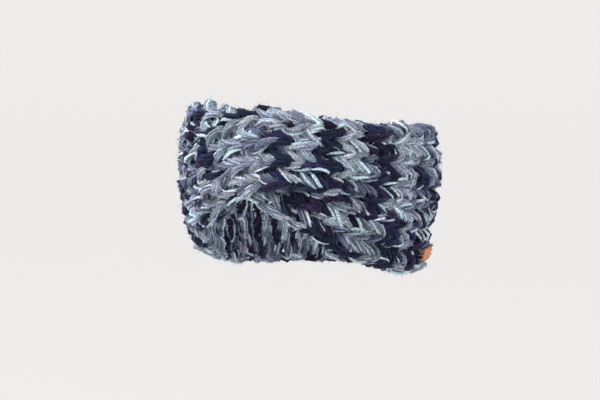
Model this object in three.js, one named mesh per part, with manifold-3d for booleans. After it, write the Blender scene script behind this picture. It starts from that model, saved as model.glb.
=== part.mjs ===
// Twisted ear warmer headband: one knitted band, crossed over itself at the front, and a leather label.
// Millimetres, +Z up, front towards -Y, the wearer's left towards +X, origin in the middle of the head.
import * as THREE from 'three';
import { mergeVertices } from 'three/addons/utils/BufferGeometryUtils.js';
import Module from 'manifold-3d';

// Head hollow: the inner face of the band is an ellipse
const hollowWidth = 156;
const hollowDepth = 198;

// Knitted band: seven columns of stitches, with a groove between each two
const bandHeight = 104;
const wall = 10;
const columns = 7;
const frontColumns = 4;
const backColumns = columns - frontColumns;
const grooveDepth = 4;
const innerGrooveDepth = 1.5;
const edgeRound = 1.2;

// How far the top and bottom edges lean in towards the head
const topLean = 4;
const topLeanStart = 0.3;
const footLean = 13;
const footLeanStart = 0.2;
const footLeanEnd = -0.5;
const pillow = 3;

// Where the crossed part ends and the plain band begins, in degrees from the front
const crossEnd = 58;
const splice = 6;
const spliceInset = 0.2;
const crossStep = 4;
const bandStep = 5.5;

// Leather label, low on the wearer's left towards the back
const labelLength = 38;
const labelHeight = 9;
const labelThickness = 1.6;
const labelCorner = 1.6;
const labelGap = 0.4;
const labelStart = 99;
const labelLevel = -0.355;
const labelSteps = 12;

// Points across one column: the outer face is round with a sharp groove, the inner face is flatter
const outerShares = [0, 0.13, 0.35, 0.65, 0.87];
const innerShares = [0, 0.5];

// Height of the plain band's two edges round the head: angle from the front, shares of bandHeight
const bandEdges = [
  { angle: 52, top: 0.562, foot: -0.300 },
  { angle: 58, top: 0.553, foot: -0.336 },
  { angle: 64, top: 0.545, foot: -0.360 },
  { angle: 75, top: 0.538, foot: -0.412 },
  { angle: 88, top: 0.526, foot: -0.450 },
  { angle: 110, top: 0.502, foot: -0.484 },
  { angle: 145, top: 0.450, foot: -0.505 },
  { angle: 180, top: 0.430, foot: -0.515 },
];

// The strip in front: it starts as the upper columns on the wearer's left, runs over the other strip
// and goes down into the lower columns on the wearer's right. Heights are shares of bandHeight, and
// lift, how far it stands out, is a share of wall.
const frontStrip = [
  { angle: -64, top: 0.153, foot: -0.360, lift: 0 },
  { angle: -58, top: 0.172, foot: -0.336, lift: 0 },
  { angle: -51, top: 0.235, foot: -0.280, lift: 0.10 },
  { angle: -40, top: 0.340, foot: -0.190, lift: 0.32 },
  { angle: -27, top: 0.422, foot: -0.128, lift: 0.58 },
  { angle: -14, top: 0.505, foot: -0.078, lift: 0.78 },
  { angle: -8, top: 0.575, foot: -0.030, lift: 0.86 },
  { angle: -2, top: 0.625, foot: 0.025, lift: 0.88 },
  { angle: 3, top: 0.645, foot: 0.085, lift: 0.88 },
  { angle: 10, top: 0.655, foot: 0.125, lift: 0.86 },
  { angle: 20, top: 0.645, foot: 0.150, lift: 0.76 },
  { angle: 32, top: 0.612, foot: 0.130, lift: 0.48 },
  { angle: 44, top: 0.580, foot: 0.088, lift: 0.16 },
  { angle: 52, top: 0.562, foot: 0.065, lift: 0 },
  { angle: 58, top: 0.553, foot: 0.045, lift: 0 },
  { angle: 64, top: 0.545, foot: 0.022, lift: 0 },
];

// The strip behind: the lower columns on the wearer's left, which go up into the upper ones on the right
const backStrip = [
  { angle: -64, top: 0.545, foot: 0.153, lift: 0 },
  { angle: -58, top: 0.553, foot: 0.172, lift: 0 },
  { angle: -51, top: 0.585, foot: 0.205, lift: 0.06 },
  { angle: -40, top: 0.645, foot: 0.275, lift: 0.24 },
  { angle: -30, top: 0.680, foot: 0.320, lift: 0.40 },
  { angle: -18, top: 0.690, foot: 0.325, lift: 0.38 },
  { angle: -9, top: 0.668, foot: 0.270, lift: 0.16 },
  { angle: -2, top: 0.630, foot: 0.170, lift: 0 },
  { angle: 5, top: 0.550, foot: 0.070, lift: 0 },
  { angle: 16, top: 0.420, foot: -0.030, lift: 0 },
  { angle: 28, top: 0.290, foot: -0.120, lift: 0 },
  { angle: 40, top: 0.180, foot: -0.215, lift: 0 },
  { angle: 52, top: 0.085, foot: -0.300, lift: 0 },
  { angle: 58, top: 0.045, foot: -0.336, lift: 0 },
  { angle: 64, top: 0.022, foot: -0.360, lift: 0 },
];

// Smooth value of one named column of a table at an angle
function along(table, name, angle) {
  const last = table.length - 1;
  let i = 0;
  while (i < last - 1 && angle > table[i + 1].angle) {
    i += 1;
  }
  const before = table[Math.max(i - 1, 0)];
  const from = table[i];
  const to = table[i + 1];
  const after = table[Math.min(i + 2, last)];
  const span = to.angle - from.angle;
  const t = Math.min(Math.max((angle - from.angle) / span, 0), 1);
  const fromSlope = ((to[name] - before[name]) / (to.angle - before.angle)) * span;
  const toSlope = ((after[name] - from[name]) / (after.angle - from.angle)) * span;
  const t2 = t * t;
  const t3 = t2 * t;
  return from[name] * (2 * t3 - 3 * t2 + 1) + fromSlope * (t3 - 2 * t2 + t)
    + to[name] * (3 * t2 - 2 * t3) + toSlope * (t3 - t2);
}

// Top and foot of everything that is there at an angle
function envelope(angle) {
  if (Math.abs(angle) >= crossEnd) {
    return {
      top: along(bandEdges, 'top', Math.abs(angle)) * bandHeight,
      foot: along(bandEdges, 'foot', Math.abs(angle)) * bandHeight,
    };
  }
  return {
    top: Math.max(along(frontStrip, 'top', angle), along(backStrip, 'top', angle)) * bandHeight,
    foot: Math.min(along(frontStrip, 'foot', angle), along(backStrip, 'foot', angle)) * bandHeight,
  };
}

// How far the band leans in at a height, as the head narrows above and below
function lean(angle, z) {
  const { top, foot } = envelope(angle);
  const share = (2 * z - top - foot) / (top - foot);
  const atTop = Math.max(share - topLeanStart, 0) / (1 - topLeanStart);
  const down = Math.max(footLeanStart - z / bandHeight, 0) / (footLeanStart - footLeanEnd);
  return -topLean * atTop ** 2 - footLean * down ** 1.3;
}

// A point at an angle and a height, so far out from the inner ellipse
function place(angle, z, out) {
  const turn = THREE.MathUtils.degToRad(angle);
  const x = (hollowWidth / 2 + out) * Math.sin(turn);
  const y = -(hollowDepth / 2 + out) * Math.cos(turn);
  return [x, y, z];
}

// How high the round of a column stands over its groove, 0 to 1
function columnRound(share) {
  return Math.sin(Math.PI * share) ** 0.7;
}

// One closed section: down the outer face, round the foot, up the inner face, round the top
function section(angle, top, foot, count, lift, crossing, inset) {
  const ring = [];
  const height = top - foot;
  const add = (share, level, past) => {
    const z = top - share * height + past;
    const own = Math.abs(2 * share - 1) ** 4;
    ring.push(place(angle, z, lift * wall + level + lean(angle, z) - pillow * crossing * own));
  };
  const outer = (column, share) => {
    const level = wall - inset - grooveDepth * (1 - columnRound(share));
    add((column + share) / count, level, 0);
  };
  const inner = (column, share) => {
    const level = inset + innerGrooveDepth * (1 - columnRound(share));
    add((column + share) / count, level, 0);
  };
  const middle = (wall - grooveDepth + innerGrooveDepth) / 2;
  for (let column = 0; column < count; column += 1) {
    outerShares.forEach((share) => outer(column, share));
  }
  outer(count - 1, 1);
  add(1, middle, -edgeRound + inset);
  inner(count - 1, 1);
  for (let column = count - 1; column >= 0; column -= 1) {
    [...innerShares].reverse().forEach((share) => inner(column, share));
  }
  add(0, middle, edgeRound - inset);
  return ring;
}

// A closed skin over a row of sections, with both ends covered
function skin(rings) {
  const size = rings[0].length;
  const positions = rings.flat(2);
  const faces = [];
  for (let i = 0; i + 1 < rings.length; i += 1) {
    for (let j = 0; j < size; j += 1) {
      const k = (j + 1) % size;
      const a = i * size + j;
      const b = i * size + k;
      const c = (i + 1) * size + k;
      const d = (i + 1) * size + j;
      faces.push(a, b, c, a, c, d);
    }
  }
  const cover = (ring, offset, flip) => {
    const outline = ring.map(([x, y, z]) => new THREE.Vector2(Math.hypot(x, y), z));
    THREE.ShapeUtils.triangulateShape(outline, []).forEach(([a, b, c]) => {
      faces.push(...(flip ? [a, b, c] : [a, c, b]).map((corner) => corner + offset));
    });
  };
  cover(rings[0], 0, true);
  cover(rings[rings.length - 1], (rings.length - 1) * size, false);
  const geometry = new THREE.BufferGeometry();
  geometry.setAttribute('position', new THREE.Float32BufferAttribute(positions, 3));
  geometry.setIndex(faces);
  return geometry;
}

// One crossed strip, from end to end; its ends are thinner and sit inside the plain band
function strip(table, count) {
  const rings = [];
  const end = crossEnd + splice;
  const steps = Math.round((2 * end) / crossStep);
  for (let i = 0; i <= steps; i += 1) {
    const angle = -end + (2 * end * i) / steps;
    const top = along(table, 'top', angle) * bandHeight;
    const foot = along(table, 'foot', angle) * bandHeight;
    const lift = along(table, 'lift', angle);
    const crossing = Math.cos((Math.PI / 2) * Math.min(Math.abs(angle) / crossEnd, 1));
    const inset = Math.abs(angle) > crossEnd ? spliceInset : 0;
    rings.push(section(angle, top, foot, count, lift, crossing, inset));
  }
  return skin(rings);
}

// The plain band, from the wearer's left round the back to the right
function plainBand() {
  const rings = [];
  const sweep = 360 - 2 * crossEnd;
  const steps = Math.round(sweep / bandStep);
  for (let i = 0; i <= steps; i += 1) {
    const round = crossEnd + (sweep * i) / steps;
    const angle = round > 180 ? round - 360 : round;
    const { top, foot } = envelope(angle);
    rings.push(section(angle, top, foot, columns, 0, 0, 0));
  }
  return skin(rings);
}

// The leather label: a thin plate with round corners, bent to the band over its grooves
function label() {
  const rings = [];
  const radius = (hollowWidth + hollowDepth) / 4 + wall;
  const sweep = THREE.MathUtils.radToDeg(labelLength / radius);
  for (let i = 0; i <= labelSteps; i += 1) {
    const along01 = i / labelSteps;
    const angle = labelStart + sweep * along01;
    const fromEnd = Math.min(along01, 1 - along01) * labelLength;
    const cut = Math.max(labelCorner - fromEnd, 0);
    const drop = labelCorner - Math.sqrt(Math.max(labelCorner ** 2 - cut ** 2, 0));
    const half = labelHeight / 2 - drop;
    const middle = labelLevel * bandHeight;
    const corner = (side, face) => {
      const z = middle + side * half;
      return place(angle, z, wall + labelGap + face * labelThickness + lean(angle, z));
    };
    rings.push([corner(1, 1), corner(0, 1), corner(-1, 1), corner(-1, 0), corner(0, 0), corner(1, 0)]);
  }
  return skin(rings);
}

// Booleans
const wasm = await Module();
wasm.setup();

function toSolid(geometry) {
  const clean = mergeVertices(geometry, 0.001);
  const mesh = new wasm.Mesh({
    numProp: 3,
    vertProperties: new Float32Array(clean.attributes.position.array),
    triVerts: new Uint32Array(clean.index.array),
  });
  return new wasm.Manifold(mesh);
}

function toGeometry(solid) {
  const mesh = solid.getMesh();
  const geometry = new THREE.BufferGeometry();
  geometry.setAttribute('position', new THREE.BufferAttribute(mesh.vertProperties, 3));
  geometry.setIndex(new THREE.BufferAttribute(mesh.triVerts, 1));
  const flat = geometry.toNonIndexed();
  flat.computeVertexNormals();
  return flat;
}

// The band is one knitted strip with its ends crossed and sewn, so it is one solid
const band = toSolid(plainBand())
  .add(toSolid(strip(frontStrip, frontColumns)))
  .add(toSolid(strip(backStrip, backColumns)));

const wool = new THREE.MeshStandardMaterial({ color: 0x6b7896, roughness: 0.95 });
wool.name = 'wool';
const leather = new THREE.MeshStandardMaterial({ color: 0xc98a5c, roughness: 0.6 });
leather.name = 'leather';

const bandMesh = new THREE.Mesh(toGeometry(band), wool);
bandMesh.name = 'knitted_band';
const labelMesh = new THREE.Mesh(toGeometry(toSolid(label())), leather);
labelMesh.name = 'leather_label';

const part = new THREE.Group();
part.name = 'ear_warmer_headband';
part.add(bandMesh);
part.add(labelMesh);

export default part;
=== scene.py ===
import math

import bpy
import numpy as np
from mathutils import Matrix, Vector


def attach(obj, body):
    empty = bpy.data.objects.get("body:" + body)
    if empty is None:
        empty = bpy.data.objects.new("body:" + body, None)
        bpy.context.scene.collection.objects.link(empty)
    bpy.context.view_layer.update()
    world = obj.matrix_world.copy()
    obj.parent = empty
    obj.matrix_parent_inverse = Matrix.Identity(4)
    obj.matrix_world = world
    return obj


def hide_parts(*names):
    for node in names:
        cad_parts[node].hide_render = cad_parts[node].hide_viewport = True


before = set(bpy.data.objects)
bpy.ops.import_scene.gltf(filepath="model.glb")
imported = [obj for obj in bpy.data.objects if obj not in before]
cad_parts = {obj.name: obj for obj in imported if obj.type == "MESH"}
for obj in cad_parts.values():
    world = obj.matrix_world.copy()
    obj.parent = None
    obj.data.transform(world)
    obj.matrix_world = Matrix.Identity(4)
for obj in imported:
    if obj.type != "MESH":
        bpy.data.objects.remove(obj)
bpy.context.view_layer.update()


# Camera: a long lens a little above the band's middle, turned about 29 degrees to the wearer's left,
# so that the crossed front, the left side and the front end of the label all show.
view_turn = math.radians(29)
view_rise = math.radians(4.5)
view_distance = 1.2
view_width = 0.428
aim_right = -0.0094

towards = Vector((math.sin(view_turn) * math.cos(view_rise),
                  -math.cos(view_turn) * math.cos(view_rise),
                  math.sin(view_rise)))
right = Vector((math.cos(view_turn), math.sin(view_turn), 0))
bpy.ops.object.camera_add(location=towards * view_distance + right * aim_right)
camera = bpy.context.object
camera.name = "camera"
camera.rotation_euler = towards.to_track_quat("Z", "Y").to_euler()
camera.data.lens = camera.data.sensor_width * view_distance / view_width
bpy.context.scene.camera = camera


# Knitted band: one strip of thick hand knitting, seven columns of V stitches wide, closed to a ring.
# Its ends are laid through each other at the front, four columns over and three under, and joined.
hollow_half_width = 0.078
hollow_half_depth = 0.099
band_height = 0.104
wall = 0.010
band_columns = 7
front_columns = 4
back_columns = band_columns - front_columns
top_lean, top_lean_start = 0.004, 0.3
foot_lean, foot_lean_start, foot_lean_end, foot_lean_power = 0.013, 0.2, -0.5, 1.3
pillow, pillow_power = 0.003, 4
cross_end = 58

# Angle from the front in degrees, top and foot as shares of band_height, lift as a share of wall
columns_of_form = [("angle", float), ("top", float), ("foot", float), ("lift", float)]
plain_form = np.array([
    (52, 0.562, -0.300, 0),
    (58, 0.553, -0.336, 0),
    (64, 0.545, -0.360, 0),
    (75, 0.538, -0.412, 0),
    (88, 0.526, -0.450, 0),
    (110, 0.502, -0.484, 0),
    (145, 0.450, -0.505, 0),
    (180, 0.430, -0.515, 0),
], dtype=columns_of_form)
front_form = np.array([
    (-64, 0.153, -0.360, 0),
    (-58, 0.172, -0.336, 0),
    (-51, 0.235, -0.280, 0.10),
    (-40, 0.340, -0.190, 0.32),
    (-27, 0.422, -0.128, 0.58),
    (-14, 0.505, -0.078, 0.78),
    (-8, 0.575, -0.030, 0.86),
    (-2, 0.625, 0.025, 0.88),
    (3, 0.645, 0.085, 0.88),
    (10, 0.655, 0.125, 0.86),
    (20, 0.645, 0.150, 0.76),
    (32, 0.612, 0.130, 0.48),
    (44, 0.580, 0.088, 0.16),
    (52, 0.562, 0.065, 0),
    (58, 0.553, 0.045, 0),
    (64, 0.545, 0.022, 0),
], dtype=columns_of_form)
back_form = np.array([
    (-64, 0.545, 0.153, 0),
    (-58, 0.553, 0.172, 0),
    (-51, 0.585, 0.205, 0.06),
    (-40, 0.645, 0.275, 0.24),
    (-30, 0.680, 0.320, 0.40),
    (-18, 0.690, 0.325, 0.38),
    (-9, 0.668, 0.270, 0.16),
    (-2, 0.630, 0.170, 0),
    (5, 0.550, 0.070, 0),
    (16, 0.420, -0.030, 0),
    (28, 0.290, -0.120, 0),
    (40, 0.180, -0.215, 0),
    (52, 0.085, -0.300, 0),
    (58, 0.045, -0.336, 0),
    (64, 0.022, -0.360, 0),
], dtype=columns_of_form)


def smooth_column(form, name, angle):
    """A named column of a form at one or many angles, on a smooth curve through its rows."""
    at, value = form["angle"], form[name]
    i = np.clip(np.searchsorted(at, angle, side="left") - 1, 0, len(at) - 2)
    before, after = np.maximum(i - 1, 0), np.minimum(i + 2, len(at) - 1)
    span = at[i + 1] - at[i]
    t = np.clip((angle - at[i]) / span, 0, 1)
    slope_from = (value[i + 1] - value[before]) / (at[i + 1] - at[before]) * span
    slope_to = (value[after] - value[i]) / (at[after] - at[i]) * span
    return (value[i] * (2 * t**3 - 3 * t**2 + 1) + slope_from * (t**3 - 2 * t**2 + t)
            + value[i + 1] * (3 * t**2 - 2 * t**3) + slope_to * (t**3 - t**2))


def turned(angle):
    """An angle brought to between -180 and 180."""
    return (np.asarray(angle, float) + 180) % 360 - 180


def top_and_foot(angle):
    """Top and foot of all that is there at an angle, in metres."""
    a = turned(angle)
    plain = np.abs(a) >= cross_end
    top = np.where(plain, smooth_column(plain_form, "top", np.abs(a)),
                   np.maximum(smooth_column(front_form, "top", a), smooth_column(back_form, "top", a)))
    foot = np.where(plain, smooth_column(plain_form, "foot", np.abs(a)),
                    np.minimum(smooth_column(front_form, "foot", a), smooth_column(back_form, "foot", a)))
    return top * band_height, foot * band_height


def lean_in(angle, z):
    """How far the band leans inwards at a height."""
    top, foot = top_and_foot(angle)
    share = (2 * z - top - foot) / (top - foot)
    at_top = np.maximum(share - top_lean_start, 0) / (1 - top_lean_start)
    down = np.maximum(foot_lean_start - z / band_height, 0) / (foot_lean_start - foot_lean_end)
    return -top_lean * at_top**2 - foot_lean * down**foot_lean_power


def place(angle, z, out):
    """A point at an angle and a height, so far out from the hollow."""
    turn = np.radians(angle)
    return np.stack([(hollow_half_width + out) * np.sin(turn),
                     -(hollow_half_depth + out) * np.cos(turn),
                     z + 0 * turn], axis=-1)


def on_strip(form, count, angle, across, out):
    """A point of a strip: across is counted in columns from its top, out from the middle of its wall."""
    a = turned(angle)
    if form is plain_form:
        top, foot, lift, crossing = (smooth_column(form, "top", np.abs(a)),
                                     smooth_column(form, "foot", np.abs(a)), 0, 0)
    else:
        top, foot, lift = (smooth_column(form, name, a) for name in ("top", "foot", "lift"))
        crossing = np.cos(np.pi / 2 * np.minimum(np.abs(a) / cross_end, 1))
    z = (top - (top - foot) * across / count) * band_height
    edge = np.abs(2 * across / count - 1)**pillow_power
    return place(a, z, wall * (0.5 + lift) + out + lean_in(a, z) - pillow * crossing * edge)


# Stitches: the yarn goes across the strip and back, row after row, and each stitch is a V whose point
# lies towards the wearer's left. The columns stand out round, with a groove between each two.
row_pitch = 0.0091
unevenness = 0.0005
stitch_unevenness = 0.0008
steps_between = 2
edge_inset = 0.14
edge_fill = 0.10
slant_share, slant_fade, slant_step = 0.8, 14, 2.0
seed = 7

# One stitch, left half: across in columns from its middle, up in rows, out in metres
half_stitch = np.array([
    (-0.50, -0.62, -0.0046),
    (-0.17, -0.66, -0.0038),
    (-0.06, -0.42, -0.0004),
    (-0.21, 0.18, 0.0018),
    (-0.47, 0.87, -0.0034),
    (-0.39, 1.12, -0.0044),
    (0.00, 1.18, -0.0036),
], dtype=[("across", float), ("up", float), ("out", float)])
mirrored = half_stitch[-2:0:-1].copy()
mirrored["across"] *= -1
whole_stitch = np.concatenate([half_stitch, mirrored])

chance = np.random.default_rng(seed)

degree = np.arange(-90, 390, 0.25)
way = np.linalg.norm(np.diff(place(degree, 0.0, wall / 2), axis=0), axis=1)
way = np.concatenate([[0], np.cumsum(way)])


def row_angles(start, end):
    """Angles of the rows between two angles, evenly spaced along the band, and the length of one row."""
    first, last = np.interp([start, end], degree, way)
    count = round((last - first) / row_pitch)
    at = first + (last - first) * (np.arange(count) + 0.5) / count
    return np.interp(at, way, degree), (last - first) / count


def row_slant(form, count, angle, across):
    """How far a row leans along the band so that it stays square to slanting columns, in metres."""
    if form is plain_form:
        return 0 * across
    both = np.array([angle - slant_step, angle + slant_step])
    ends = on_strip(form, count, both, np.full(2, count / 2), 0)
    slope = (ends[1, 2] - ends[0, 2]) / np.linalg.norm(ends[1, :2] - ends[0, :2])
    height = (smooth_column(form, "top", angle) - smooth_column(form, "foot", angle)) * band_height
    fade = np.clip((cross_end - abs(angle)) / slant_fade, 0, 1)
    return slant_share * fade * slope * (across / count - 0.5) * height


def yarn_path(form, count, start, end):
    """The yarn's middle line through all rows of a strip, there and back, with the angle and column."""
    angles, pitch = row_angles(start, end)
    points, where = [], []
    column = np.minimum(np.arange(count * len(whole_stitch) + 1) // len(whole_stitch), count - 1)
    for row, angle in enumerate(angles):
        at = np.interp(angle, degree, way)
        across = np.concatenate([k + 0.5 + whole_stitch["across"] for k in range(count)])
        up = np.tile(whole_stitch["up"], count)
        out = np.tile(whole_stitch["out"], count)
        across = np.append(across, count)
        up = np.append(up, half_stitch["up"][0])
        out = np.append(out, half_stitch["out"][0])
        in_edge_column = np.clip(1 - np.minimum(across, count - across), 0, 1)**2
        across += edge_fill * in_edge_column * np.sign(across - count / 2)
        across = np.clip(across, edge_inset, count - edge_inset)
        slant = row_slant(form, count, angle, across)
        turn = np.interp(at - up * pitch + slant, way, degree)
        line = on_strip(form, count, turn, across, out)
        line += chance.normal(0, stitch_unevenness, (count, 3))[column]
        line += chance.normal(0, unevenness, line.shape)
        order = slice(None, None, 1 if row % 2 == 0 else -1)
        points.append(line[order])
        where.append(np.c_[np.interp(at + slant, way, degree), column][order])
    return np.concatenate(points), np.concatenate(where)


def rounded(line, steps):
    """A smooth line through the points, with so many steps between each two."""
    ends = np.concatenate([line[:1] * 2 - line[1:2], line, line[-1:] * 2 - line[-2:-1]])
    a, b, c, d = ends[:-3], ends[1:-2], ends[2:-1], ends[3:]
    parts = []
    for step in range(steps):
        t = step / steps
        parts.append(0.5 * (2 * b + (c - a) * t + (2 * a - 5 * b + 4 * c - d) * t**2
                            + (3 * b - a - 3 * c + d) * t**3))
    return np.concatenate([np.stack(parts, axis=1).reshape(-1, line.shape[1]), line[-1:]])


def unit(vectors):
    return vectors / np.linalg.norm(vectors, axis=-1, keepdims=True)


def crosswise(line):
    """The way ahead at each point of a line, and two directions square to it that turn little."""
    ahead = unit(np.gradient(line, axis=0))
    side = np.empty_like(line)
    last = np.cross(ahead[0], (0.3, 0.5, 0.8))
    for i, direction in enumerate(ahead):
        last = last - direction * (last @ direction)
        last /= math.sqrt(last @ last)
        side[i] = last
    return ahead, side, np.cross(ahead, side)


# Yarn: five soft strands of unspun wool round a sixth, with a pale thick-and-thin one on top, laid
# together with a slow twist. The wool was dyed in patches, so navy rows come between slate ones.
# The middle strand's colour is darkened to this share: painted shade deep inside the yarn
core_radius = 0.0023
core_painted_shade = 0.65
plies = np.array([
    (0.00100, 0.00160, 0.00),
    (0.00094, 0.00166, 0.20),
    (0.00098, 0.00160, 0.40),
    (0.00094, 0.00168, 0.60),
    (0.00100, 0.00162, 0.80),
    (0.00142, 0.00268, 0.10),
], dtype=[("radius", float), ("offset", float), ("turn", float)])
pale_ply = len(plies) - 1
strand_sides = 4
strand_twist = 0.046
strand_wander, wander_every = 0.00035, 3

# How unevenly the strands lie: share of their size, and metres of yarn for each radian of a wave
turn_waves, turn_length = 0.5, 0.021
reach_waves, reach_length = 0.12, 0.013
thick_waves, thick_length = 0.15, 0.0097

# Where the yarn is navy or pale: middle and half width in degrees round the band, first and last column
columns_of_patch = [("angle", float), ("half", float), ("first", int), ("last", int), ("shade", "U5")]
over_patches = np.array([
    (-44, 5, 1, 3, "navy"),
    (-30, 4, 0, 1, "navy"),
    (-18, 5, 3, 3, "navy"),
    (-13, 4, 0, 1, "navy"),
    (9, 4, 0, 0, "navy"),
    (21, 4, 1, 2, "navy"),
    (23, 8, 3, 3, "navy"),
    (42, 5.5, 0, 3, "navy"),
    (27, 10, 0, 0, "pale"),
    (30, 5, 1, 2, "pale"),
    (53, 5, 1, 2, "pale"),
], dtype=columns_of_patch)
under_patches = np.array([
    (-44, 2.5, 0, 0, "navy"),
    (-25, 3.8, 0, 1, "navy"),
    (-31, 5, 2, 2, "navy"),
    (-14, 6, 0, 1, "pale"),
    (-4, 4, 0, 1, "pale"),
    (24, 10, 0, 1, "navy"),
    (42, 5, 0, 0, "navy"),
    (36, 4, 2, 2, "navy"),
    (47, 4, 2, 2, "navy"),
    (-36, 5, 0, 1, "pale"),
    (10, 8, 2, 2, "pale"),
], dtype=columns_of_patch)
arm_patches = np.array([
    (61, 4, 0, 0, "navy"),
    (68, 5, 1, 2, "navy"),
    (66, 5, 3, 4, "navy"),
    (74, 6, 5, 6, "navy"),
    (96, 5, 2, 6, "navy"),
    (71, 5, 3, 3, "pale"),
    (80, 5, 0, 1, "pale"),
    *((angle + step, 4 + (angle // 23) % 2, first, last, "navy") for angle in range(119, 302, 23)
      for step, first, last in ((0, 0, 2), (6, 3, 4), (-3, 5, 6))),
    *((angle, 4, (angle // 7) % 4, (angle // 7) % 4 + 2, "pale") for angle in range(130, 302, 23)),
], dtype=columns_of_patch)

navy = [(0.019, 0.017, 0.054), (0.034, 0.021, 0.062), (0.014, 0.021, 0.050), (0.026, 0.027, 0.084)]
slate = [(0.290, 0.335, 0.445), (0.390, 0.430, 0.540), (0.165, 0.190, 0.290), (0.460, 0.505, 0.600),
         (0.315, 0.380, 0.465)]
ice = [(0.60, 0.78, 0.84), (0.54, 0.72, 0.80), (0.68, 0.76, 0.86)]
families = {"navy": navy, "slate": slate, "pale": [*slate[:2], *slate[3:], (0.56, 0.66, 0.74)]}
odd_shares = {"navy": 0.03, "slate": 0.11, "pale": 0.04}
ice_shares = {"navy": 0.27, "slate": 0.66, "pale": 0.88}

# Shortest and longest stretch of one colour, in points of the yarn
colour_run, streak_run, sliver_run = (7, 24), (5, 16), (4, 9)
patch_wander = 1.3
drawn_shades = (0.8, 1.2)
streak_spread, streak_tints = 0.30, (0.93, 1.07)

# The pale strand's thickness, as shares of its radius: thin, swollen, and a dull stretch's swelling
thin_share, swollen_shares, dull_share = 0.15, (0.65, 1.05), 0.35
swell_power = 0.8

# Loose fibres that stand off the strands
hairs_per_metre = 440
hair_length, longest_hair = 0.0028, 0.0065
hair_radius = 0.00012
hair_spread = 0.45
hair_root_spread, hair_root_depth = 0.0008, 0.8
hair_fan, hair_lie, hair_lift, hair_stray = 0.55, 0.9, (0.05, 0.9), 0.3
# Each loose fibre is at random lighter or darker, and its colour is lifted by a small even bluish amount:
# painted light on the fibres
hair_shades, hair_painted_glow = (0.6, 1.8), (0.010, 0.014, 0.024)


def runs(count, shortest, longest):
    """Uneven stretches that share out so many points, each as its first point and its end."""
    first = 0
    while first < count:
        last = min(first + int(chance.integers(shortest, longest)), count)
        yield first, last
        first = last


def wool_at(where, patches):
    """The wool that a place of the yarn was spun from: navy, slate or pale."""
    angle, column = where
    near = np.abs(turned(patches["angle"] - angle + chance.normal(0, patch_wander))) < patches["half"]
    within = patches[near & (patches["first"] <= column) & (column <= patches["last"])]
    return str(within["shade"][0]) if len(within) else "slate"


def drawn(family):
    """One colour of a family, a little lighter or darker."""
    return np.array(family[int(chance.integers(len(family)))]) * chance.uniform(*drawn_shades)


def dyed(where, patches):
    """Colour along the yarn, in uneven stretches."""
    tone = np.empty((len(where), 3))
    for first, last in runs(len(where), *colour_run):
        shade = wool_at(where[first], patches)
        if chance.random() < odd_shares[shade]:
            shade = "slate" if shade == "navy" else "navy"
        tone[first:last] = drawn(families[shade])
    return tone


def streaked(tone):
    """The yarn's colour in one of its strands, which is here and there lighter, darker or bluer."""
    own = tone.copy()
    for first, last in runs(len(tone), *streak_run):
        own[first:last] *= chance.lognormal(0, streak_spread) * chance.uniform(*streak_tints, 3)
    return (own + np.roll(own, 1, axis=0) + np.roll(own, -1, axis=0)) / 3


def slivers(where, patches, tone):
    """Thickness and colour of the pale strand: swellings of ice wool, thin and dull between them."""
    share, own = np.empty(len(where)), tone.copy()
    for first, last in runs(len(where), *sliver_run):
        swell = np.sin(np.pi * (np.arange(last - first) + 0.5) / (last - first))
        if chance.random() < ice_shares[wool_at(where[first], patches)]:
            share[first:last] = thin_share + chance.uniform(*swollen_shares) * swell**swell_power
            own[first:last] = drawn(ice)
        else:
            share[first:last] = thin_share + dull_share * swell
    return share, own


def wander(count, every, size):
    """A random way off a line that changes slowly along it."""
    knots = chance.normal(0, size, (count // every + 2, 3))
    at = np.arange(count) / every
    return np.stack([np.interp(at, np.arange(len(knots)), knots[:, axis]) for axis in range(3)], axis=1)


# Painted light and shade: the share of its colour that a strand's outer and inner side are painted with,
# and how fast it falls off between them
shade_outside, shade_inside, shade_power = 1.15, 0.38, 1.4
strand_end = 0.35
pattern_shift = 0.37


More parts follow.
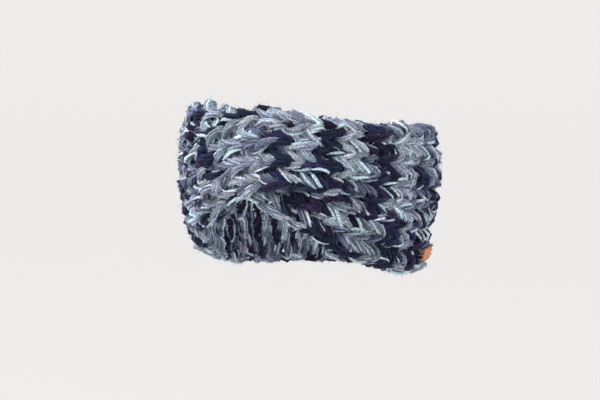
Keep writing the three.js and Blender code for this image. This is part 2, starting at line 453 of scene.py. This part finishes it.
class Strands:
    """Many round strands, with their loose fibres, gathered into one mesh with a colour at each point."""

    def __init__(self):
        self.points, self.faces, self.tones, self.along, self.count = [], [], [], [], 0

    def gather(self, points, faces, tone, along):
        self.points.append(points)
        self.faces += faces
        self.tones.append(tone)
        self.along.append(along)
        self.count += len(points)

    def strand(self, line, away, radius, tone):
        """One strand, with painted light and shade in its colour: its side away from the yarn's middle is
        painted light, and the rest painted dark as shade.
        """
        other = unit(np.cross(np.gradient(line, axis=0), away))
        turn = np.arange(strand_sides) / strand_sides * 2 * np.pi
        thick = np.array(radius)
        thick[[0, -1]] *= strand_end
        ring = (line[:, None] + thick[:, None, None] * (np.cos(turn)[None, :, None] * away[:, None]
                                                        + np.sin(turn)[None, :, None] * other[:, None]))
        here = self.count + np.arange(len(line) * strand_sides).reshape(len(line), strand_sides)
        there = np.roll(here, -1, axis=1)
        quads = np.stack([here[:-1], there[:-1], there[1:], here[1:]], axis=-1).reshape(-1, 4)
        length = np.concatenate([[0], np.cumsum(np.linalg.norm(np.diff(line, axis=0), axis=1))])
        along = np.c_[np.repeat(length + pattern_shift * len(self.along), strand_sides),
                      np.tile(np.abs(turn / np.pi - 1), len(line))]
        # Painted light and shade: the colour is lighter on the side away from the yarn's middle and darker
        # towards the inner side
        painted_light = shade_inside + (shade_outside - shade_inside) * (0.5 + 0.5 * np.cos(turn))**shade_power
        self.gather(ring.reshape(-1, 3), quads.tolist() + [here[0, ::-1].tolist(), here[-1].tolist()],
                    (tone[:, None] * painted_light[None, :, None]).reshape(-1, 3), along)

    def hairs(self, line, away, radius, tone):
        """Pointed fibres along a strand, rooted on the side of it that faces away from the yarn."""
        ahead = unit(np.gradient(line, axis=0))
        length = np.linalg.norm(np.diff(line, axis=0), axis=1).sum()
        at = chance.integers(0, len(line), int(hairs_per_metre * length))
        out = unit(away[at] + chance.normal(0, hair_fan, (len(at), 3)))
        lie = ahead[at] * chance.choice((-1.0, 1.0), (len(at), 1))
        grow = unit(lie * hair_lie + out * chance.uniform(*hair_lift, (len(at), 1))
                    + chance.normal(0, hair_stray, (len(at), 3)))
        along = ahead[at] * chance.uniform(-hair_root_spread, hair_root_spread, (len(at), 1))
        root = line[at] + along + out * radius[at, None] * hair_root_depth
        grown = hair_length * chance.lognormal(0, hair_spread, (len(at), 1))
        tip = root + grow * np.minimum(grown, longest_hair)
        side = unit(np.cross(grow, out + (0.01, 0.02, 0.03)))
        other = np.cross(grow, side)
        corners = [root + hair_radius * (math.cos(turn) * side + math.sin(turn) * other)
                   for turn in (0, 2 * math.pi / 3, 4 * math.pi / 3)]
        a, b, c, point = (self.count + 4 * np.arange(len(at)) + i for i in range(4))
        faces = np.concatenate([np.stack(face, axis=-1) for face in
                                ((a, c, b), (a, b, point), (b, c, point), (c, a, point))])
        # Painted light: the small even lift is added to each fibre's colour
        shade = tone[at] * chance.uniform(*hair_shades, (len(at), 1)) + hair_painted_glow
        self.gather(np.stack([*corners, tip], axis=1).reshape(-1, 3), faces.tolist(),
                    np.repeat(shade, 4, axis=0), np.zeros((4 * len(at), 2)))

    def piece(self, name, material):
        mesh = bpy.data.meshes.new(name)
        mesh.from_pydata(np.concatenate(self.points).tolist(), [], self.faces)
        tone = np.concatenate(self.tones)
        colour = mesh.color_attributes.new("tone", "FLOAT_COLOR", "POINT")
        colour.data.foreach_set("color", np.c_[tone, np.ones(len(tone))].ravel())
        corner = np.empty(len(mesh.loops), dtype=np.int32)
        mesh.loops.foreach_get("vertex_index", corner)
        mesh.uv_layers.new(name="along").data.foreach_set("uv", np.concatenate(self.along)[corner].ravel())
        mesh.polygons.foreach_set("use_smooth", np.ones(len(mesh.polygons), dtype=bool))
        mesh.materials.append(material)
        mesh.update()
        made = bpy.data.objects.new(name, mesh)
        bpy.context.collection.objects.link(made)
        return made


class Socket:
    """A shader socket: sums and products of sockets and numbers add their own Math nodes."""

    def __init__(self, tree, output=None):
        self.tree, self.output = tree, output

    def node(self, kind, settings=None, values=None, output=0):
        made = self.tree.nodes.new(kind)
        for key, value in (settings or {}).items():
            if key == "stops":
                for stop, (at, colour) in zip(made.color_ramp.elements, value):
                    stop.position, stop.color = at, (*colour, 1)
            else:
                setattr(made, key, value)
        for key, value in (values or {}).items():
            if isinstance(value, Socket):
                self.tree.links.new(value.output, made.inputs[key])
            else:
                made.inputs[key].default_value = value
        return Socket(self.tree, made.outputs[output]) if made.outputs else None

    def maths(self, operation, first, second):
        return self.node("ShaderNodeMath", {"operation": operation}, {0: first, 1: second})

    def __add__(self, other):
        return self.maths("ADD", self, other)

    def __radd__(self, other):
        return self.maths("ADD", other, self)

    def __mul__(self, other):
        return self.maths("MULTIPLY", self, other)

    def __rmul__(self, other):
        return self.maths("MULTIPLY", other, self)


def new_material(name):
    """An empty material, and a socket that starts its nodes."""
    made = bpy.data.materials.new(name)
    made.use_nodes = True
    made.node_tree.nodes.clear()
    return made, Socket(made.node_tree)


# Wool: matt, in the colour held at each point of a strand, which is its dye with painted light and shade
# over it, and with streaks of lighter and darker fibres along the strand, a fine crimp over it and a little
# bluish sheen.
streak_scale = (620, 4.5, 1)
wool, make = new_material("wool")
point_tone = make.node("ShaderNodeVertexColor", {"layer_name": "tone"})
along_strand = make.node("ShaderNodeMapping", {}, {
    "Vector": make.node("ShaderNodeUVMap", {"uv_map": "along"}), "Scale": streak_scale})
streaks = make.node("ShaderNodeTexNoise", {"noise_dimensions": "2D"}, {
    "Vector": along_strand, "Scale": 1.0, "Detail": 4.0, "Roughness": 0.65})
crimp = make.node("ShaderNodeTexNoise", {}, {
    "Vector": make.node("ShaderNodeTexCoord", output="Object"), "Scale": 1300.0, "Detail": 3.0})
shade = make.node("ShaderNodeValToRGB", {"stops": [(0.38, (0.42, 0.42, 0.46)), (0.62, (1.75, 1.75, 1.72))]},
                  {"Fac": streaks * 0.62 + crimp * 0.48 + -0.05})
fibre_colour = make.node("ShaderNodeMix", {"data_type": "RGBA", "blend_type": "MULTIPLY"}, {
    "Factor": 1.0, 6: point_tone, 7: shade}, 2)
raised = make.node("ShaderNodeBump", {}, {
    "Strength": 0.7, "Distance": 0.0006, "Height": streaks * 0.7 + crimp * 0.5})
make.node("ShaderNodeOutputMaterial", {}, {"Surface": make.node("ShaderNodeBsdfPrincipled", {}, {
    "Base Color": fibre_colour, "Roughness": 0.92, "Normal": raised, "Specular IOR Level": 0.15,
    "Sheen Weight": 0.14, "Sheen Roughness": 0.5, "Sheen Tint": (0.5, 0.62, 0.95, 1)})})


def knit(name, form, count, start, end, patches):
    """One strip of knitting between two angles, strand by strand, with its loose fibres."""
    line, where = yarn_path(form, count, start, end)
    line = rounded(line, steps_between)
    where = np.repeat(where, steps_between, axis=0)[:len(line)]
    _, side, other = crosswise(line)
    length = np.concatenate([[0], np.cumsum(np.linalg.norm(np.diff(line, axis=0), axis=1))])
    strands = Strands()
    tone = dyed(where, patches)
    # The middle strand, in the yarn's colour darkened as painted shade
    strands.strand(line, side, np.full(len(line), core_radius), tone * core_painted_shade)
    for k, ply in enumerate(plies):
        turn = (2 * np.pi * (length / strand_twist + ply["turn"])
                + turn_waves * np.sin(length / turn_length + k))
        away = np.cos(turn)[:, None] * side + np.sin(turn)[:, None] * other
        reach = ply["offset"] * (1 + reach_waves * np.sin(length / reach_length + 2 * k))
        path = line + reach[:, None] * away + wander(len(line), wander_every, strand_wander)
        if k == pale_ply:
            share, own = slivers(where, patches, tone)
        else:
            share, own = 1 + thick_waves * np.sin(length / thick_length + 3 * k), streaked(tone)
        strands.strand(path, away, ply["radius"] * share, own)
        strands.hairs(path, away, ply["radius"] * share, own)
    made = strands.piece(name, wool)
    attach(made, "root")
    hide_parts("knitted_band")
    return made


knit("knit_under", back_form, back_columns, -cross_end, cross_end, under_patches)
knit("knit_over", front_form, front_columns, -cross_end, cross_end, over_patches)
arms = ["knit_left", "knit_back_left", "knit_back_right", "knit_right"]
arm_ends = np.linspace(cross_end, 360 - cross_end, len(arms) + 1)
for arm, start, end in zip(arms, arm_ends[:-1], arm_ends[1:]):
    knit(arm, plain_form, band_columns, start, end, arm_patches)


# Leather label: a blank tan tab cut from thin veg-tanned leather, with round corners and burnished
# edges, laid on the outside low on the wearer's left and bent with the band.
label_length, label_height, label_thickness = 0.038, 0.009, 0.0016
label_corner, label_edge, label_gap = 0.0016, 0.0004, 0.0004
label_start, label_level = 99, -0.355
label_cuts_along, label_cuts_up = 18, 5
burnished = 0.0011
tan, tan_edge = np.array((0.62, 0.235, 0.092)), np.array((0.30, 0.085, 0.03))
pore_scale, cloud_scale = 1900.0, 330.0


def on_label(points):
    """Points of the flat label (along, out, up) laid on the band."""
    radius = (hollow_half_width + hollow_half_depth) / 2 + wall
    angle = label_start + np.degrees(points[:, 0] / radius)
    z = label_level * band_height + points[:, 2]
    return place(angle, z, wall + label_gap + points[:, 1] + lean_in(angle, z))


bpy.ops.object.select_all(action="DESELECT")
bpy.ops.mesh.primitive_plane_add(size=1, location=(label_length / 2, 0, 0), rotation=(math.pi / 2, 0, 0))
label = bpy.context.object
label.name = "leather_tab"
label.scale = (label_length, label_height, 1)
bpy.ops.object.transform_apply(location=True, rotation=True, scale=True)
bpy.ops.object.mode_set(mode="EDIT")
bpy.ops.mesh.select_all(action="SELECT")
bpy.ops.mesh.bevel(offset=label_corner, segments=5, affect="VERTICES")
bpy.ops.mesh.select_all(action="SELECT")
bpy.ops.mesh.extrude_region_move(TRANSFORM_OT_translate={"value": (0, label_thickness, 0)})
bpy.ops.mesh.select_all(action="SELECT")
bpy.ops.mesh.normals_make_consistent(inside=False)
bpy.ops.mesh.bevel(offset=label_edge, segments=3, affect="EDGES")
for cut in np.linspace(0, label_length, label_cuts_along + 2)[1:-1]:
    bpy.ops.mesh.select_all(action="SELECT")
    bpy.ops.mesh.bisect(plane_co=(cut, 0, 0), plane_no=(1, 0, 0))
for cut in np.linspace(-label_height / 2, label_height / 2, label_cuts_up + 2)[1:-1]:
    bpy.ops.mesh.select_all(action="SELECT")
    bpy.ops.mesh.bisect(plane_co=(0, 0, cut), plane_no=(0, 0, 1))
bpy.ops.object.mode_set(mode="OBJECT")
flat = np.array([corner.co for corner in label.data.vertices])
from_end = np.minimum(flat[:, 0], label_length - flat[:, 0])
from_edge = np.minimum(from_end, label_height / 2 - np.abs(flat[:, 2]))
burnt = np.clip(1 - from_edge / burnished, 0, 1)[:, None]
tone = tan + (tan_edge - tan) * burnt
colour = label.data.color_attributes.new("tone", "FLOAT_COLOR", "POINT")
colour.data.foreach_set("color", np.c_[tone, np.ones(len(flat))].ravel())
label.data.vertices.foreach_set("co", on_label(flat).ravel())
bpy.ops.object.shade_smooth_by_angle(angle=math.radians(40))

leather, make = new_material("leather")
point_tone = make.node("ShaderNodeVertexColor", {"layer_name": "tone"})
place_on_tab = make.node("ShaderNodeTexCoord", output="Object")
pores = make.node("ShaderNodeTexVoronoi", {"feature": "DISTANCE_TO_EDGE"}, {
    "Vector": place_on_tab, "Scale": pore_scale})
cloud = make.node("ShaderNodeTexNoise", {}, {
    "Vector": place_on_tab, "Scale": cloud_scale, "Detail": 4.0})
tint = make.node("ShaderNodeValToRGB", {"stops": [(0.30, (0.84, 0.80, 0.76)), (0.70, (1.12, 1.11, 1.08))]},
                 {"Fac": cloud * 0.85 + pores * 0.5})
make.node("ShaderNodeOutputMaterial", {}, {"Surface": make.node("ShaderNodeBsdfPrincipled", {}, {
    "Base Color": make.node("ShaderNodeMix", {"data_type": "RGBA", "blend_type": "MULTIPLY"}, {
        "Factor": 1.0, 6: point_tone, 7: tint}, 2),
    "Roughness": cloud * 0.25 + 0.45,
    "Normal": make.node("ShaderNodeBump", {}, {
        "Strength": 0.5, "Distance": 0.0002, "Height": pores + cloud * 0.6})})})
label.data.materials.append(leather)
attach(label, "root")
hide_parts("leather_label")


# Sewing thread: three short stitches of waxed tan thread at each end hold the label down. Each comes
# up out of the knitting just past the end, and goes down through the leather.
stitch_rise, stitch_reach, stitch_past, stitch_under = 0.0005, 0.0024, 0.0009, 0.0022
stitch_levels = (-0.003, 0, 0.003)
thread_radius, thread_lay = 0.00032, 700.0
thread_colours = [(0.60, 0.42, 0.24), (0.52, 0.35, 0.19)]

thread, make = new_material("waxed_thread")
# Colour at each point of the thread: its tan with painted light and shade over it
point_tone = make.node("ShaderNodeVertexColor", {"layer_name": "tone"})
lay = make.node("ShaderNodeTexWave", {}, {
    "Vector": make.node("ShaderNodeUVMap", {"uv_map": "along"}), "Scale": thread_lay, "Distortion": 2.0})
make.node("ShaderNodeOutputMaterial", {}, {"Surface": make.node("ShaderNodeBsdfPrincipled", {}, {
    "Base Color": make.node("ShaderNodeMix", {"data_type": "RGBA", "blend_type": "MULTIPLY"}, {
        "Factor": 0.35, 6: point_tone, 7: lay}, 2),
    "Roughness": 0.6,
    "Normal": make.node("ShaderNodeBump", {}, {"Strength": 0.4, "Distance": 0.0001, "Height": lay})})})

sewing = Strands()
for end, inwards in ((0, 1), (label_length, -1)):
    for level in stitch_levels:
        route = [(end - inwards * stitch_past, -stitch_under, level),
                 (end - inwards * stitch_past, label_thickness * 0.6, level),
                 (end + inwards * stitch_reach * 0.15, label_thickness + stitch_rise, level),
                 (end + inwards * stitch_reach * 0.75, label_thickness + stitch_rise, level),
                 (end + inwards * stitch_reach, label_thickness - stitch_rise, level)]
        line = rounded(on_label(np.array(route)), 4)
        tone = np.tile(thread_colours[int(chance.integers(2))], (len(line), 1))
        sewing.strand(line, crosswise(line)[1], np.full(len(line), thread_radius), tone)
thread_piece = sewing.piece("label_stitches", thread)
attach(thread_piece, "root")


# Studio: a wide pale floor, an even pale surround and two large soft lamps, the stronger one high on
# the left of the camera.
surround = (0.853, 0.830, 0.830, 1)
floor_size, floor_level = 80, -0.32

bpy.context.scene.view_settings.view_transform = "Standard"
bpy.ops.object.select_all(action="DESELECT")
bpy.ops.mesh.primitive_plane_add(size=floor_size, location=(0, 0, floor_level))
floor = bpy.context.object
floor.name = "floor"
paper, make = new_material("paper")
make.node("ShaderNodeOutputMaterial", {}, {"Surface": make.node("ShaderNodeBsdfPrincipled", {}, {
    "Base Color": (0.12, 0.12, 0.12, 1), "Roughness": 0.95, "Specular IOR Level": 0.1,
    "Emission Color": (1.0, 0.968, 0.968, 1), "Emission Strength": 0.722})})
floor.data.materials.append(paper)

world = bpy.data.worlds.new("studio")
bpy.context.scene.world = world
world.use_nodes = True
world.node_tree.nodes["Background"].inputs["Color"].default_value = surround
world.node_tree.nodes["Background"].inputs["Strength"].default_value = 1.0


def lamp(name, at, size, power):
    bpy.ops.object.light_add(type="AREA", location=at)
    made = bpy.context.object
    made.name = name
    made.data.size = size
    made.data.energy = power
    made.rotation_euler = Vector(at).to_track_quat("Z", "Y").to_euler()


lamp("key", (-0.9, -1.6, 1.5), 1.0, 32)
lamp("fill", (1.6, -1.3, 0.6), 1.4, 4)
